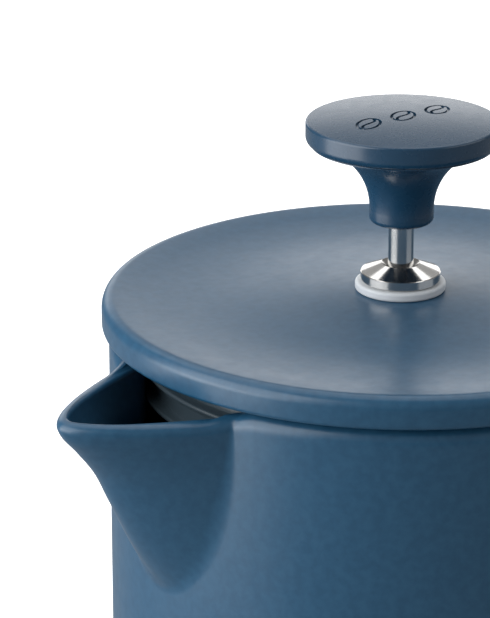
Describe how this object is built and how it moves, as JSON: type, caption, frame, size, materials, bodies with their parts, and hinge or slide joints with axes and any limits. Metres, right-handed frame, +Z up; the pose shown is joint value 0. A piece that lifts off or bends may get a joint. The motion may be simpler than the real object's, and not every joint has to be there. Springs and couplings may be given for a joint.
{
  "type": "cafetiere",
  "caption": "Stoneware cafetiere with a pulled spout, a loop handle, a flat sealed lid and a plunger with a disc knob and mesh filter.",
  "frame": {"origin": "centre of the pot's standing plane, under the foot ring", "axes": "+Z up along the pot's axis, -X out of the spout, +X towards the handle"},
  "size_m": [0.1751, 0.112, 0.2125],
  "materials": {
    "blue_glaze": "satin dark blue glaze with a fine speckle",
    "clear_silicone": "translucent milky silicone",
    "turned_steel": "turned stainless steel",
    "polished_steel": "polished stainless steel",
    "stamped_steel": "stamped stainless sheet",
    "woven_steel": "fine stainless wire",
    "white_washer": "white translucent plastic",
    "navy_plastic": "satin navy plastic",
    "brass_insert": "machined brass"
  },
  "bodies": {
    "pot": {"pot_body": "blue_glaze", "handle": "blue_glaze"},
    "seal": {"lid_seal": "clear_silicone"},
    "lid_group": {"lid": "blue_glaze", "collar": "turned_steel", "collar_washer": "white_washer", "under_washer": "white_washer", "collar_nut": "turned_steel"},
    "guide": {"guide_bush": "white_washer"},
    "plunger": {"rod": "polished_steel", "knob_stem": "navy_plastic", "knob_cap": "navy_plastic", "knob_insert": "brass_insert", "hub_nut": "polished_steel", "cross_plate": "stamped_steel", "filter_screen": "woven_steel", "screen_eyelet": "stamped_steel", "spreader_plate": "stamped_steel", "spreader_hub": "polished_steel", "spring_coil": "woven_steel"}
  },
  "joints": [
    {"name": "lid_lift", "type": "slide", "parent": "pot", "child": "seal", "axis": [0, 0, 1], "range_m": [0, 0.19]},
    {"name": "lid_turn", "type": "hinge", "parent": "seal", "child": "lid_group", "pos_m": [0, 0, 0.175], "axis": [0, 0, 1], "continuous": true},
    {"name": "plunger_turn", "type": "hinge", "parent": "lid_group", "child": "guide", "pos_m": [0, 0, 0.178], "axis": [0, 0, 1], "continuous": true},
    {"name": "plunge", "type": "slide", "parent": "guide", "child": "plunger", "axis": [0, 0, 1], "range_m": [0, 0.136]}
  ]
}
